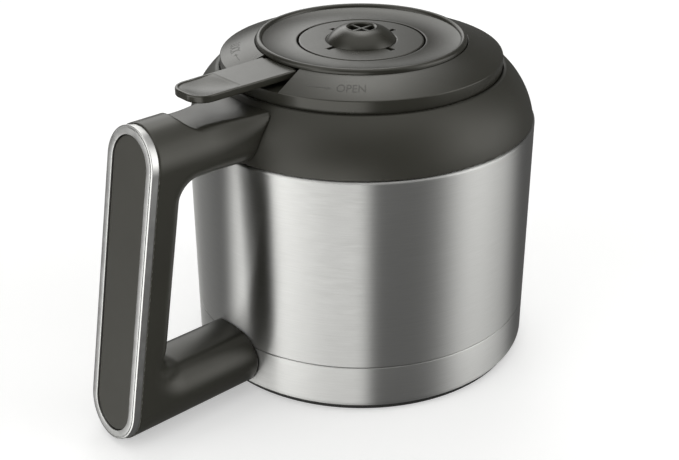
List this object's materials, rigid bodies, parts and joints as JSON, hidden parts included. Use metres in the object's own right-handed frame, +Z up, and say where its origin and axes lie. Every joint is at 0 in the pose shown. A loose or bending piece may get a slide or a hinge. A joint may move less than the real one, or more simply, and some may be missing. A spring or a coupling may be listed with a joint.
{
  "type": "thermal carafe",
  "caption": "Double-walled steel carafe with a plastic collar, D handle and twist-lock lid with a lever-worked brew-through valve.",
  "frame": {"origin": "centre of the underside of the base, on the carafe's axis", "axes": "+Z up along the carafe's axis; +X towards the pour spout, with the handle and thumb lever along -X"},
  "size_m": [0.2053, 0.144, 0.1386],
  "materials": {
    "steel": "brushed round the axis",
    "liner": "satin",
    "foot_rubber": "matte",
    "seal_rubber": "satin silicone",
    "plastic": "satin, dark warm grey",
    "lid_plastic": "satin, dark warm grey",
    "trim": "satin silver",
    "panel": "soft satin, dark grey",
    "screw": "bright",
    "spring": "bright"
  },
  "bodies": {
    "vessel": {"outer_shell": "steel", "base_cup": "steel", "foot_ring": "foot_rubber", "flask_base": "liner", "inner_flask": "liner", "flask_neck": "liner", "getter": "liner", "collar": "plastic", "neck_gasket": "seal_rubber", "handle_body": "plastic", "handle_trim": "trim", "grip_panel": "panel", "lower_bracket": "steel", "handle_screws": "screw"},
    "lid_seal": {"lid_gasket": "seal_rubber"},
    "lid": {"lid_cover": "lid_plastic", "lid_funnel": "lid_plastic", "lid_insert": "plastic", "lid_screws": "screw", "lever_pin": "screw"},
    "lever": {"lever": "lid_plastic"},
    "valve": {"valve_disc": "lid_plastic", "brew_nose": "lid_plastic", "valve_stem": "plastic", "valve_seal": "seal_rubber", "valve_spring": "spring"}
  },
  "joints": [
    {"name": "lid_lift", "type": "slide", "parent": "vessel", "child": "lid_seal", "axis": [0, 0, 1], "range_m": [0, 0.048]},
    {"name": "lid_turn", "type": "hinge", "parent": "lid_seal", "child": "lid", "pos_m": [0, 0, 0.1236], "axis": [0, 0, 1], "range_deg": [0, 45]},
    {"name": "lever_press", "type": "hinge", "parent": "lid", "child": "lever", "pos_m": [-0.0392, 0, 0.1283], "axis": [0, -1, 0], "range_deg": [0, 5]},
    {"name": "valve_lift", "type": "slide", "parent": "lid", "child": "valve", "axis": [0, 0, 1], "range_m": [0, 0.0024], "stiffness_N_per_m": 1200, "springref_m": -0.003, "deforming": ["valve_spring"]}
  ],
  "couplings": [
    {"joint": "lever_press", "follows": "valve_lift", "rad_per_m": 36.36}
  ]
}
